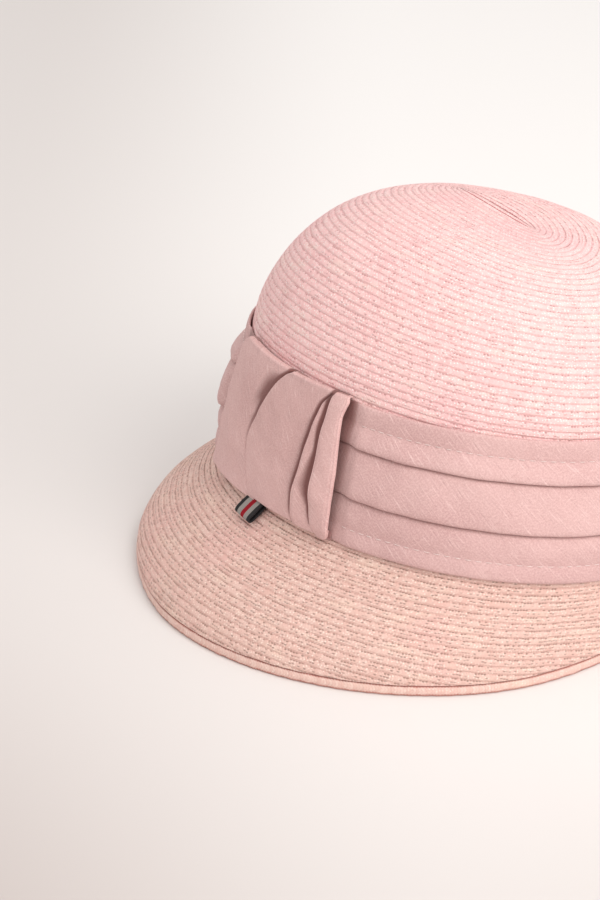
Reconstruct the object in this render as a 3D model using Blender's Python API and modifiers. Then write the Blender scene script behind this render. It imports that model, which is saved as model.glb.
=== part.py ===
"""A straw cloche hat at its real size, standing on its rim as it would on a table.

Metres, +Z up. The wearer faces -Y, so the wearer's left is +X. The origin is on the table, at the
middle of the rim's outline. The crown leans, because the brim is deeper on the left than on the right.
"""

import math

import bmesh
import bpy
import numpy as np
from mathutils import Matrix, Vector

# Crown, measured on its outside and square to the head line, where the crown meets the brim
HEAD_HALF_LENGTH = 0.1010
HEAD_HALF_WIDTH = 0.0855
SHOULDER_HEIGHT = 0.0537
SHOULDER_HALF_LENGTH = 0.0963
SHOULDER_HALF_WIDTH = 0.0815
CROWN_DEPTH = 0.1160
DOME_RISE_POWER = 1.79
DOME_SIDE_POWER = 2.97
TIP_SEAM_HALF = 0.0260
TIP_SETBACK = 0.0064
CROWN_WALL = 0.0020

# How the crown stands over the table
HEAD_LINE_HEIGHT = 0.0300
LEAN_TO_RIGHT = math.radians(8.3)
LEAN_TO_FRONT = math.radians(2.5)

# How far the rim reaches out past the head line on each side, and where its outline is widest
BRIM_REACH_FRONT = 0.0225
BRIM_REACH_BACK = 0.0091
BRIM_REACH_LEFT = 0.0412
BRIM_REACH_RIGHT = 0.0225
RIM_WIDEST_TO_LEFT = 0.0205
RIM_WIDEST_TO_BACK = 0.0020
RIM_OUTLINE_POWER = 1.87
BRIM_WALL = 0.0020

# The part of the brim that stands up under the band, and its upright lower edge
COLLAR_HEIGHT = 0.0050
FOOT_HEIGHT = 0.0009

# The bell of the brim, as shares of its reach and of its drop
BELL_START_REACH_SHARE = 0.25
BELL_START_DROP_SHARE = 0.34
BELL_END_REACH_SHARE = 0.14
BELL_END_DROP_SHARE = 0.40
BELL_FULLNESS_SHARE = 0.03

# The last row of braid, which stands on the table
RIM_ROW_HEIGHT = 0.0043
RIM_ROW_WIDTH = 0.0030

# Clearance between pieces that are sewn together
SEAM_GAP = 0.0003

# Linen band
BAND_HEIGHT = 0.0534
BAND_FULLNESS = 0.0048
BAND_LEAST = 0.0010
BAND_PRESSED_SHARE = 0.45
BAND_EXTRA_SHARE = 1.20
BAND_EXTRA_AT = math.radians(-38)

# The band's outside from its bottom edge up: share of its height, and share of its fullness
BAND_SECTION = [
    {"rise": 0.000, "stand_off": 0.46},
    {"rise": 0.050, "stand_off": 0.54},
    {"rise": 0.130, "stand_off": 0.46},
    {"rise": 0.215, "stand_off": 0.66},
    {"rise": 0.290, "stand_off": 0.70},
    {"rise": 0.350, "stand_off": 0.52},
    {"rise": 0.356, "stand_off": 0.84},
    {"rise": 0.410, "stand_off": 1.00},
    {"rise": 0.530, "stand_off": 0.94},
    {"rise": 0.640, "stand_off": 0.74},
    {"rise": 0.705, "stand_off": 0.52},
    {"rise": 0.711, "stand_off": 0.82},
    {"rise": 0.760, "stand_off": 0.92},
    {"rise": 0.815, "stand_off": 0.70},
    {"rise": 0.865, "stand_off": 0.40},
    {"rise": 0.945, "stand_off": 0.44},
    {"rise": 1.000, "stand_off": 0.34},
]

# Pleated wrap over the left side of the band; its turn is from the middle of the side to its back edge
WRAP_TURN = math.radians(27.5)
WRAP_FULLNESS = 0.0044
WRAP_OVER_TOP = 0.0011

# Where the wrap's folds lie, as shares of its turn, and how far the cloth stands off at each of them
WRAP_FOLDS = [
    {"at": "front edge", "top": -0.62, "mid": -0.70, "low": -0.85, "under": 0.70, "over": 1.10, "hem": 1.15},
    {"at": "tuck", "top": 0.30, "mid": -0.10, "low": 0.01, "under": 0.62, "over": 0.92, "hem": 0.75},
    {"at": "inner pleat", "top": 0.78, "mid": 0.66, "low": 0.60, "under": 0.50, "over": 0.82, "hem": 0.28},
    {"at": "outer pleat", "top": 0.86, "mid": 0.80, "low": 0.83, "under": 0.62, "over": 1.00, "hem": 0.28},
    {"at": "back edge", "top": 1.01, "mid": 0.97, "low": 1.00, "under": 0.92, "over": 0.40, "hem": 0.28},
]

# Swell of the wrap over its height: share of the height, and share of the stand-off above the hem
WRAP_SWELL = [
    {"rise": 0.00, "swell": 0.00},
    {"rise": 0.07, "swell": 0.55},
    {"rise": 0.26, "swell": 1.00},
    {"rise": 0.50, "swell": 0.98},
    {"rise": 0.76, "swell": 0.92},
    {"rise": 0.93, "swell": 0.66},
    {"rise": 1.00, "swell": 0.40},
]

# Folded ribbon that hangs from under the wrap onto the brim
TAG_WIDTH = 0.0115
TAG_LENGTH = 0.0084
TAG_THICKNESS = 0.0026
TAG_RIBBON = 0.0007
TAG_TURN = math.radians(3.4)
TAG_START = 0.0018

ROUND_STEPS = 64
CROWN_RINGS = 13
BRIM_RINGS = 8


def lean_matrix():
    """Turns the crown's own frame, whose Z runs up the crown, into the frame of the table."""
    up = Vector((-math.tan(LEAN_TO_RIGHT), -math.tan(LEAN_TO_FRONT), 1)).normalized()
    back = (Vector((0, 1, 0)) - up * up.y).normalized()
    side = back.cross(up)
    return Matrix((side, back, up)).transposed()


def head_centre():
    """The middle of the head line, placed so that the rim's outline is centred on the origin."""
    across = BRIM_REACH_RIGHT - BRIM_REACH_LEFT
    along = BRIM_REACH_FRONT - BRIM_REACH_BACK
    return Vector((across / 2, along / 2, HEAD_LINE_HEIGHT))


LEAN = lean_matrix()
HEAD_CENTRE = head_centre()


def stand(x, y, z):
    """A point of the crown's own frame, in the frame of the table."""
    return HEAD_CENTRE + LEAN @ Vector((x, y, z))


def turns():
    return [math.tau * step / ROUND_STEPS for step in range(ROUND_STEPS)]


def wall_half_sizes(height):
    """Half-width and half-length of the crown's outside, up to the shoulder and just over it."""
    rise = min(1, height / SHOULDER_HEIGHT)
    width = HEAD_HALF_WIDTH + (SHOULDER_HALF_WIDTH - HEAD_HALF_WIDTH) * rise
    length = HEAD_HALF_LENGTH + (SHOULDER_HALF_LENGTH - HEAD_HALF_LENGTH) * rise
    return width, length


def off_wall(turn, height, stand_off):
    """A point that stands off the crown's outside by the given distance."""
    width, length = wall_half_sizes(height)
    outward = Vector((math.cos(turn) / width, math.sin(turn) / length)).normalized() * stand_off
    return stand(width * math.cos(turn) + outward.x, length * math.sin(turn) + outward.y, height)


def dome_side(half_at_head, half_at_shoulder, inner_end, share):
    """Half-size and height on one side of the crown, at a share of the way from the tip to the collar."""
    rise = np.linspace(1, 0, 80) ** 0.5
    dome = half_at_shoulder * (1 - rise**DOME_RISE_POWER) ** (1 / DOME_SIDE_POWER)
    foot = COLLAR_HEIGHT + SEAM_GAP
    foot_half = half_at_head + (half_at_shoulder - half_at_head) * foot / SHOULDER_HEIGHT
    halves = np.append(dome, foot_half)
    heights = np.append(SHOULDER_HEIGHT + rise * (CROWN_DEPTH - SHOULDER_HEIGHT), foot)
    along = np.append(0, np.cumsum(np.hypot(np.diff(halves), np.diff(heights))))
    start = np.interp(inner_end, halves, along)
    at = start + share * (along[-1] - start)
    return float(np.interp(at, along, halves)), float(np.interp(at, along, heights))


def setback(height):
    over_shoulder = (height - SHOULDER_HEIGHT) / (CROWN_DEPTH - SHOULDER_HEIGHT)
    return TIP_SETBACK * max(0, over_shoulder)


def crown_ring(share):
    """One ring of the crown's outside: 0 is the seam at the tip, 1 the foot of the crown."""
    length, length_height = dome_side(HEAD_HALF_LENGTH, SHOULDER_HALF_LENGTH, TIP_SEAM_HALF, share)
    width, width_height = dome_side(HEAD_HALF_WIDTH, SHOULDER_HALF_WIDTH, 0, share)
    ring = []
    for turn in turns():
        height = length_height * math.sin(turn) ** 2 + width_height * math.cos(turn) ** 2
        ring.append(stand(width * math.cos(turn), length * math.sin(turn) + setback(height), height))
    return ring


def rim_point(turn, inset, height):
    """A point of the rim's outline, set in from it; its four quarters have different half-sizes."""
    centre_x = HEAD_CENTRE.x + RIM_WIDEST_TO_LEFT
    centre_y = HEAD_CENTRE.y + RIM_WIDEST_TO_BACK
    across = math.cos(turn)
    along = math.sin(turn)
    if across >= 0:
        half_width = HEAD_HALF_WIDTH + BRIM_REACH_LEFT - RIM_WIDEST_TO_LEFT
    else:
        half_width = HEAD_HALF_WIDTH + BRIM_REACH_RIGHT + RIM_WIDEST_TO_LEFT
    if along >= 0:
        half_length = HEAD_HALF_LENGTH + BRIM_REACH_BACK - RIM_WIDEST_TO_BACK
    else:
        half_length = HEAD_HALF_LENGTH + BRIM_REACH_FRONT + RIM_WIDEST_TO_BACK
    bend = 2 / RIM_OUTLINE_POWER
    normal_x = math.copysign(abs(across) ** (2 - bend), across) / half_width
    normal_y = math.copysign(abs(along) ** (2 - bend), along) / half_length
    outward = Vector((normal_x, normal_y)).normalized()
    x = centre_x + half_width * math.copysign(abs(across) ** bend, across) - outward.x * inset
    y = centre_y + half_length * math.copysign(abs(along) ** bend, along) - outward.y * inset
    return Vector((x, y, height))


def bell_point(turn, share):
    """A point of the brim's outside: 0 is the head line, 1 the top of the brim's upright edge."""
    start = off_wall(turn, 0, 0)
    end = rim_point(turn, (RIM_ROW_WIDTH - BRIM_WALL) / 2, RIM_ROW_HEIGHT + SEAM_GAP + FOOT_HEIGHT)
    reach = Vector((end.x - start.x, end.y - start.y, 0))
    drop = start.z - end.z
    outward = Vector((math.cos(turn), math.sin(turn), 0))
    spread = outward * (BELL_FULLNESS_SHARE * drop)
    down = Vector((0, 0, -drop))
    first = start + reach * BELL_START_REACH_SHARE + down * BELL_START_DROP_SHARE
    second = end - reach * BELL_END_REACH_SHARE - down * BELL_END_DROP_SHARE + spread
    back = 1 - share
    return start * back**3 + first * (3 * back**2 * share) + second * (3 * back * share**2) + end * share**3


def new_material(name, colour, roughness):
    material = bpy.data.materials.new(name)
    material.use_nodes = True
    surface = material.node_tree.nodes["Principled BSDF"]
    surface.inputs["Base Color"].default_value = (*colour, 1)
    surface.inputs["Roughness"].default_value = roughness
    return material


def new_piece(name, points, faces, material, collection):
    """Makes a piece from points and faces, with all faces turned out and soft edges shaded smooth."""
    mesh = bpy.data.meshes.new(name)
    mesh.from_pydata([tuple(point) for point in points], [], faces)
    work = bmesh.new()
    work.from_mesh(mesh)
    bmesh.ops.recalc_face_normals(work, faces=work.faces)
    work.to_mesh(mesh)
    work.free()
    mesh.materials.append(material)
    mesh.shade_smooth()
    mesh.set_sharp_from_angle(angle=math.radians(40))
    piece = bpy.data.objects.new(name, mesh)
    collection.objects.link(piece)
    return piece


def strip_faces(first_ring, second_ring, closed=True):
    """Faces between two rows of point numbers of the same length."""
    count = len(first_ring)
    faces = []
    for step in range(count if closed else count - 1):
        after = (step + 1) % count
        faces.append((first_ring[step], first_ring[after], second_ring[after], second_ring[step]))
    return faces


def stacked_shell(rings):
    """Points and faces of an open shell that joins one ring to the next."""
    points = [point for ring in rings for point in ring]
    numbers = [[row * len(ring) + step for step in range(len(ring))] for row, ring in enumerate(rings)]
    faces = []
    for upper, lower in zip(numbers, numbers[1:]):
        faces += strip_faces(upper, lower)
    return points, faces


def add_wall(piece, thickness):
    """Gives a shell its thickness on the inner side."""
    wall = piece.modifiers.new("wall", "SOLIDIFY")
    wall.thickness = thickness
    wall.offset = -1
    wall.use_even_offset = True
    wall.use_quality_normals = True


def build_crown(material, collection):
    """The crown, whose first ring is closed to a straight seam along the tip."""
    rings = [crown_ring(row / CROWN_RINGS) for row in range(CROWN_RINGS + 1)]
    quarter = ROUND_STEPS // 4
    seam = [rings[0][(step - quarter) % ROUND_STEPS] for step in range(2 * quarter + 1)]
    seam_numbers = []
    for step in range(ROUND_STEPS):
        on_left = step <= quarter or step >= 3 * quarter
        mirrored = step if on_left else (2 * quarter - step) % ROUND_STEPS
        seam_numbers.append((mirrored + quarter) % ROUND_STEPS)
    points, faces = stacked_shell(rings[1:])
    offset = len(seam)
    faces = [tuple(number + offset for number in face) for face in faces]
    first_ring = [offset + step for step in range(ROUND_STEPS)]
    faces = strip_faces(seam_numbers, first_ring) + faces
    piece = new_piece("crown", seam + points, faces, material, collection)
    add_wall(piece, CROWN_WALL)
    return piece


def build_brim(material, collection):
    """The brim, from the collar under the band down to the last row of braid."""
    rings = [[off_wall(turn, COLLAR_HEIGHT, 0) for turn in turns()]]
    for row in range(BRIM_RINGS + 1):
        rings.append([bell_point(turn, row / BRIM_RINGS) for turn in turns()])
    rings.append([bell_point(turn, 1) - Vector((0, 0, FOOT_HEIGHT)) for turn in turns()])
    points, faces = stacked_shell(rings)
    piece = new_piece("brim", points, faces, material, collection)
    add_wall(piece, BRIM_WALL)
    return piece


def build_rim_row(material, collection):
    """The thick last row, flat underneath where it stands on the table."""
    section = [
        (0.30, 0.00),
        (0.06, 0.16),
        (0.00, 0.45),
        (0.05, 0.80),
        (0.24, 1.00),
        (0.76, 1.00),
        (0.95, 0.80),
        (1.00, 0.45),
        (0.94, 0.16),
        (0.70, 0.00),
    ]
    rings = []
    for inset, rise in section:
        rings.append([rim_point(turn, inset * RIM_ROW_WIDTH, rise * RIM_ROW_HEIGHT) for turn in turns()])
    points, faces = stacked_shell(rings + [rings[0]])
    count = ROUND_STEPS * len(section)
    faces = [tuple(number % count for number in face) for face in faces]
    return new_piece("rim_braid", points[:count], faces, material, collection)


def band_turns():
    """The turns of the band's columns, with extra ones where the wrap begins to press it."""
    front_edge = min(WRAP_FOLDS[0]["top"], WRAP_FOLDS[0]["low"]) * WRAP_TURN
    back_edge = max(WRAP_FOLDS[-1]["top"], WRAP_FOLDS[-1]["low"]) * WRAP_TURN
    beside = math.radians(1.0)
    free = math.radians(4.0)
    extra = [front_edge - free, front_edge - beside, back_edge + beside, back_edge + free]
    kept = []
    for turn in turns():
        signed = (turn + math.pi) % math.tau - math.pi
        if all(abs(signed - other) > math.radians(1.6) for other in extra):
            kept.append(signed)
    return sorted(kept + extra), front_edge, back_edge


def band_stand_off(turn, row, front_edge, back_edge):
    """How far the band stands off the crown: pressed under the wrap, fuller low at the front left."""
    beyond = max(front_edge - turn, turn - back_edge)
    free = min(1, max(0, (beyond - math.radians(1.2)) / math.radians(2.6)))
    extra = BAND_EXTRA_SHARE * (1 - row["rise"]) * max(0, math.cos(turn - BAND_EXTRA_AT)) ** 4
    return BAND_FULLNESS * row["stand_off"] * (BAND_PRESSED_SHARE + (1 + extra - BAND_PRESSED_SHARE) * free)


def build_band(material, collection):
    """The linen band in three tiers, as a closed ring round the foot of the crown."""
    columns, front_edge, back_edge = band_turns()
    rings = []
    for row in BAND_SECTION:
        height = SEAM_GAP + row["rise"] * BAND_HEIGHT
        ring = []
        for turn in columns:
            stand_off = band_stand_off(turn, row, front_edge, back_edge)
            ring.append(off_wall(turn, height, max(stand_off, SEAM_GAP + BAND_LEAST)))
        rings.append(ring)
    for rise in (1, 0.5, 0):
        rings.append([off_wall(turn, SEAM_GAP + rise * BAND_HEIGHT, SEAM_GAP) for turn in columns])
    points, faces = stacked_shell(rings + [rings[0]])
    count = len(columns) * len(rings)
    faces = [tuple(number % count for number in face) for face in faces]
    return new_piece("band", points[:count], faces, material, collection)


def fold_turn(fold, rise):
    """The turn of a fold at a share of the wrap's height, on a curve through its three places."""
    low = (1 - rise) * (1 - 2 * rise)
    middle = 4 * rise * (1 - rise)
    high = rise * (2 * rise - 1)
    return WRAP_TURN * (fold["low"] * low + fold["mid"] * middle + fold["top"] * high)


def wrap_columns():
    """For each column of the wrap: the fold before it, the share to the next fold, the stand-off."""
    step_over = 0.06
    columns = [(0, 0.0, WRAP_FOLDS[0]["under"])]
    for number in range(len(WRAP_FOLDS) - 1):
        start = WRAP_FOLDS[number]["over"]
        end = WRAP_FOLDS[number + 1]["under"]
        for share in (step_over, 0.35, 0.68, 0.985):
            columns.append((number, share, start + (end - start) * share))
    columns.append((len(WRAP_FOLDS) - 2, 1.0, WRAP_FOLDS[-1]["over"]))
    return columns


def wrap_place(number, share, rise):
    """The turn of a place between two folds of the wrap, and how much of the stand-off its hem keeps."""
    before = WRAP_FOLDS[number]
    after = WRAP_FOLDS[number + 1]
    turn = fold_turn(before, rise) * (1 - share) + fold_turn(after, rise) * share
    hem = before["hem"] * (1 - share) + after["hem"] * share
    return turn, hem


def build_wrap(material, collection):
    """The pleated wrap: it lies over the band and turns in over the band's top edge."""
    base = BAND_FULLNESS * BAND_PRESSED_SHARE + SEAM_GAP
    bottom = SEAM_GAP
    under_lip = SEAM_GAP + BAND_HEIGHT + SEAM_GAP
    top = under_lip + WRAP_OVER_TOP
    loops = []
    for number, share, stand_off in wrap_columns():
        loop = []
        for row in WRAP_SWELL:
            turn, hem = wrap_place(number, share, row["rise"])
            low = row["rise"] < 0.25
            swell = hem + (1 - hem) * row["swell"] if low else row["swell"]
            out = base + WRAP_FULLNESS * stand_off * swell
            loop.append(off_wall(turn, bottom + (top - bottom) * row["rise"], out))
        loop.append(off_wall(turn, top, SEAM_GAP))
        loop.append(off_wall(turn, under_lip, SEAM_GAP))
        loop.append(off_wall(turn, under_lip, base))
        for rise in (0.5, 0.0):
            turn, hem = wrap_place(number, share, rise)
            loop.append(off_wall(turn, bottom + (top - bottom) * rise, base))
        loops.append(loop)
    points, faces = stacked_shell(loops)
    width = len(loops[0])
    faces.append(tuple(range(width)))
    faces.append(tuple(reversed(range(len(points) - width, len(points)))))
    return new_piece("side_wrap", points, faces, material, collection)


def build_tag(material, collection):
    """The folded ribbon: a flat loop open at both sides, lying on the brim below the wrap."""
    middle = bell_point(TAG_TURN, 0)
    along = (bell_point(TAG_TURN, 0.30) - bell_point(TAG_TURN, 0.08)).normalized()
    ahead = bell_point(TAG_TURN + 0.02, 0.2) - bell_point(TAG_TURN - 0.02, 0.2)
    across = (ahead - along * ahead.dot(along)).normalized()
    outward = across.cross(along).normalized()
    if outward.z < 0:
        outward.negate()
    foot = middle + along * TAG_START + outward * (SEAM_GAP * 2 + TAG_THICKNESS / 2)
    steps = 14
    loops = []
    for side in (-0.5, 0.5):
        for shrink in (0, TAG_RIBBON):
            loop = []
            for step in range(steps):
                turn = math.tau * step / steps
                length = (TAG_LENGTH / 2 - shrink) * math.cos(turn) + TAG_LENGTH / 2
                thick = (TAG_THICKNESS / 2 - shrink) * math.sin(turn)
                loop.append(foot + along * length + outward * thick + across * (side * TAG_WIDTH))
            loops.append(loop)
    points = [point for loop in loops for point in loop]
    rows = [[number * steps + step for step in range(steps)] for number in range(4)]
    faces = strip_faces(rows[0], rows[1])
    faces += strip_faces(rows[1], rows[3])
    faces += strip_faces(rows[3], rows[2])
    faces += strip_faces(rows[2], rows[0])
    return new_piece("side_tag", points, faces, material, collection)


def main():
    for thing in list(bpy.data.objects):
        bpy.data.objects.remove(thing, do_unlink=True)
    collection = bpy.data.collections.new("cloche_hat")
    bpy.context.scene.collection.children.link(collection)
    build_crown(new_material("pink_straw", (0.78, 0.48, 0.46), 0.75), collection)
    build_brim(new_material("pale_straw", (0.80, 0.60, 0.50), 0.75), collection)
    build_rim_row(new_material("rim_straw", (0.78, 0.56, 0.47), 0.75), collection)
    build_band(new_material("band_linen", (0.62, 0.41, 0.40), 0.90), collection)
    build_wrap(new_material("wrap_linen", (0.60, 0.39, 0.38), 0.90), collection)
    build_tag(new_material("tag_ribbon", (0.30, 0.27, 0.26), 0.85), collection)


main()
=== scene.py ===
import math

import bmesh
import bpy
import numpy as np
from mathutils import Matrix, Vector, noise


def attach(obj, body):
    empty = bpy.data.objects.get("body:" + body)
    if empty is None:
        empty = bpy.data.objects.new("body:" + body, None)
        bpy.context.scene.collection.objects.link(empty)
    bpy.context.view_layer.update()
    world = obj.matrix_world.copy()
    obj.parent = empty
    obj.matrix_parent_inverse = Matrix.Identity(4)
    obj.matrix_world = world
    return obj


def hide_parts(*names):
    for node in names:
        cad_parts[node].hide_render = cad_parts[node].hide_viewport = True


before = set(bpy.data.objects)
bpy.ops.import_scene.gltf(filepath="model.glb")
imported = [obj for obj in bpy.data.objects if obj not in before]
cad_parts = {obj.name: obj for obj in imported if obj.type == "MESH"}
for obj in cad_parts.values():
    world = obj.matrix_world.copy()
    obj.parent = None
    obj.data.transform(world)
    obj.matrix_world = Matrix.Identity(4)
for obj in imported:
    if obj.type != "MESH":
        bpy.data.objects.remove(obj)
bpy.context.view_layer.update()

print("frame loaded")

# Sizes of the hat's body in metres, the same as the solids'
hatShape = {
    "headHalfLength": 0.1010,
    "headHalfWidth": 0.0855,
    "shoulderHeight": 0.0537,
    "shoulderHalfLength": 0.0963,
    "shoulderHalfWidth": 0.0815,
    "crownDepth": 0.1160,
    "domeRisePower": 1.79,
    "domeSidePower": 2.97,
    "tipSeamHalf": 0.0260,
    "tipSetback": 0.0064,
    "collarHeight": 0.0050,
    "headLineHeight": 0.0300,
    "leanToRight": 8.3,
    "leanToFront": 2.5,
    "reachFront": 0.0225,
    "reachBack": 0.0091,
    "reachLeft": 0.0412,
    "reachRight": 0.0225,
    "widestToLeft": 0.0205,
    "widestToBack": 0.0020,
    "rimPower": 1.87,
    "rimRowHeight": 0.0043,
    "rimRowWidth": 0.0030,
    "rimInset": 0.0005,
    "footHeight": 0.0009,
    "bellStart": (0.25, 0.34),
    "bellEnd": (0.14, 0.40),
    "bellFullness": 0.03,
    "seamGap": 0.0003,
}

upAxis = Vector((
    -math.tan(math.radians(hatShape["leanToRight"])),
    -math.tan(math.radians(hatShape["leanToFront"])),
    1,
)).normalized()
backAxis = (Vector((0, 1, 0)) - upAxis * upAxis.y).normalized()
sideAxis = backAxis.cross(upAxis)
upAxis, backAxis, sideAxis = np.array(upAxis), np.array(backAxis), np.array(sideAxis)
headCentre = np.array((
    (hatShape["reachRight"] - hatShape["reachLeft"]) / 2,
    (hatShape["reachFront"] - hatShape["reachBack"]) / 2,
    hatShape["headLineHeight"],
))


def stand(x, y, z):
    # from the crown's own leaning frame to the table's
    x, y, z = np.broadcast_arrays(x, y, z)
    return headCentre + x[..., None] * sideAxis + y[..., None] * backAxis + z[..., None] * upAxis


def wallHalves(height):
    rise = np.minimum(1, height / hatShape["shoulderHeight"])
    width = hatShape["headHalfWidth"] + (hatShape["shoulderHalfWidth"] - hatShape["headHalfWidth"]) * rise
    length = hatShape["headHalfLength"] + (hatShape["shoulderHalfLength"] - hatShape["headHalfLength"]) * rise
    return width, length


def offWall(turn, height, standOff):
    # a point that stands off the crown's outside
    turn, height, standOff = np.broadcast_arrays(np.asarray(turn, float), height, standOff)
    width, length = wallHalves(height)
    outX = np.cos(turn) / width
    outY = np.sin(turn) / length
    size = np.hypot(outX, outY)
    x = width * np.cos(turn) + outX / size * standOff
    y = length * np.sin(turn) + outY / size * standOff
    return stand(x, y, height)


def lengthsAlong(points, axis=0):
    # how far each point of a line lies from its first point
    steps = np.linalg.norm(np.diff(points, axis=axis), axis=-1)
    return np.insert(np.cumsum(steps, axis=axis), 0, 0, axis=axis)


def unit(vectors):
    return vectors / np.linalg.norm(vectors, axis=-1, keepdims=True)


def domeSide(halfAtHead, halfAtShoulder, innerEnd):
    # half-sizes, heights and lengths along one side of the crown, from the tip to the collar
    shoulder = hatShape["shoulderHeight"]
    rise = np.linspace(1, 0, 160) ** 0.5
    dome = halfAtShoulder * (1 - rise ** hatShape["domeRisePower"]) ** (1 / hatShape["domeSidePower"])
    foot = hatShape["collarHeight"] + hatShape["seamGap"]
    halves = np.append(dome, halfAtHead + (halfAtShoulder - halfAtHead) * foot / shoulder)
    heights = np.append(shoulder + rise * (hatShape["crownDepth"] - shoulder), foot)
    along = lengthsAlong(np.stack((halves, heights), axis=-1))
    start = np.interp(innerEnd, halves, along)
    return halves, heights, along, start


longSide = domeSide(hatShape["headHalfLength"], hatShape["shoulderHalfLength"], hatShape["tipSeamHalf"])
shortSide = domeSide(hatShape["headHalfWidth"], hatShape["shoulderHalfWidth"], 0)


def sideAt(side, share):
    halves, heights, along, start = side
    at = start + share * (along[-1] - start)
    return np.interp(at, along, halves), np.interp(at, along, heights)


def crownPoint(turn, share):
    # share 0 is the seam at the tip, 1 the foot of the crown
    length, lengthHeight = sideAt(longSide, share)
    width, widthHeight = sideAt(shortSide, share)
    height = lengthHeight * np.sin(turn) ** 2 + widthHeight * np.cos(turn) ** 2
    over = (height - hatShape["shoulderHeight"]) / (hatShape["crownDepth"] - hatShape["shoulderHeight"])
    setback = hatShape["tipSetback"] * np.maximum(0, over)
    return stand(width * np.cos(turn), length * np.sin(turn) + setback, height)


def rimPoint(turn, inset, height):
    # the rim's outline, whose four quarters have different half-sizes
    turn, inset, height = np.broadcast_arrays(np.asarray(turn, float), inset, height)
    across, along = np.cos(turn), np.sin(turn)
    wide, long = hatShape["headHalfWidth"], hatShape["headHalfLength"]
    toLeft, toBack = hatShape["widestToLeft"], hatShape["widestToBack"]
    centreX, centreY = headCentre[0] + toLeft, headCentre[1] + toBack
    halfWidth = np.where(across >= 0, wide + hatShape["reachLeft"] - toLeft,
                         wide + hatShape["reachRight"] + toLeft)
    halfLength = np.where(along >= 0, long + hatShape["reachBack"] - toBack,
                          long + hatShape["reachFront"] + toBack)
    bend = 2 / hatShape["rimPower"]
    normalX = np.sign(across) * np.abs(across) ** (2 - bend) / halfWidth
    normalY = np.sign(along) * np.abs(along) ** (2 - bend) / halfLength
    size = np.hypot(normalX, normalY)
    x = centreX + halfWidth * np.sign(across) * np.abs(across) ** bend - normalX / size * inset
    y = centreY + halfLength * np.sign(along) * np.abs(along) ** bend - normalY / size * inset
    return np.stack((x, y, height), axis=-1)


def bellPoint(turn, share):
    # the brim's outside: share 0 is the head line, 1 the top of its upright edge
    turn, share = np.broadcast_arrays(np.asarray(turn, float), share)
    start = offWall(turn, 0.0, 0.0)
    foot = hatShape["rimRowHeight"] + hatShape["seamGap"] + hatShape["footHeight"]
    end = rimPoint(turn, hatShape["rimInset"], foot)
    reach = (end - start) * np.array((1, 1, 0))
    drop = (start - end)[..., 2:]
    down = drop * np.array((0, 0, -1))
    outward = np.stack((np.cos(turn), np.sin(turn), np.zeros_like(turn)), axis=-1)
    startReach, startDrop = hatShape["bellStart"]
    endReach, endDrop = hatShape["bellEnd"]
    first = start + reach * startReach + down * startDrop
    second = end - reach * endReach - down * endDrop + outward * (hatShape["bellFullness"] * drop)
    s = share[..., None]
    return start * (1 - s) ** 3 + first * 3 * (1 - s) ** 2 * s + second * 3 * (1 - s) * s ** 2 + end * s ** 3


def normalsOf(points, middle):
    # directions of a grid of points, away from a middle inside the hat
    normal = np.cross(np.gradient(points, axis=1), np.gradient(points, axis=0))
    size = np.linalg.norm(normal, axis=-1, keepdims=True)
    normal = np.where(size > 1e-12, normal / np.maximum(size, 1e-12), upAxis)
    facing = np.sum(normal * (points - middle), axis=-1, keepdims=True)
    return np.where(facing < 0, -normal, normal)


def roughness(points, scale, seed=0.0):
    # smooth noise from -1 to 1 at each point, the same on every run
    flat = (points.reshape(-1, 3) * scale + seed).tolist()
    return np.array([noise.noise(Vector(place)) for place in flat]).reshape(points.shape[:-1])


def gridFaces(rowCount, columnCount, around=False):
    row = np.arange(rowCount - 1)[:, None]
    column = np.arange(columnCount if around else columnCount - 1)[None, :]
    after = (column + 1) % columnCount
    corners = (row * columnCount + column, row * columnCount + after,
               (row + 1) * columnCount + after, (row + 1) * columnCount + column)
    return np.stack([corner + 0 * row for corner in corners], axis=-1).reshape(-1, 4)


def inScene(name, data):
    thing = bpy.data.objects.new(name, data)
    bpy.context.scene.collection.objects.link(thing)
    return thing


def newPiece(name, points, faces, places, material, marks=None, weld=True, outwardFrom=None):
    # a mesh from numpy points and quads, with a place (u, v) for each point or for each corner of each quad
    mesh = bpy.data.meshes.new(name)
    mesh.from_pydata(points.reshape(-1, 3).tolist(), [], faces.tolist())
    layer = mesh.uv_layers.new(name="alongAndAcross")
    corners = places if places.shape[:2] == faces.shape else places.reshape(-1, 2)[faces]
    layer.data.foreach_set("uv", corners.reshape(-1).astype(np.float32))
    for mark, values in (marks or {}).items():
        attribute = mesh.attributes.new(mark, "FLOAT", "POINT")
        attribute.data.foreach_set("value", values.reshape(-1).astype(np.float32))
    work = bmesh.new()
    work.from_mesh(mesh)
    if weld:
        bmesh.ops.remove_doubles(work, verts=work.verts, dist=2e-6)
        bmesh.ops.dissolve_degenerate(work, edges=work.edges, dist=1e-7)
    bmesh.ops.recalc_face_normals(work, faces=work.faces)
    if outwardFrom is not None:
        total = sum((face.calc_center_median() - Vector(outwardFrom)).dot(face.normal) * face.calc_area()
                    for face in work.faces)
        if total < 0:
            bmesh.ops.reverse_faces(work, faces=work.faces)
    work.to_mesh(mesh)
    work.free()
    mesh.shade_smooth()
    mesh.materials.append(material)
    return inScene(name, mesh)


def thicken(piece, thickness):
    # cloth has half its thickness on each side of its surface
    cloth = piece.modifiers.new("cloth", "SOLIDIFY")
    cloth.thickness = thickness
    cloth.offset = 0


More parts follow.
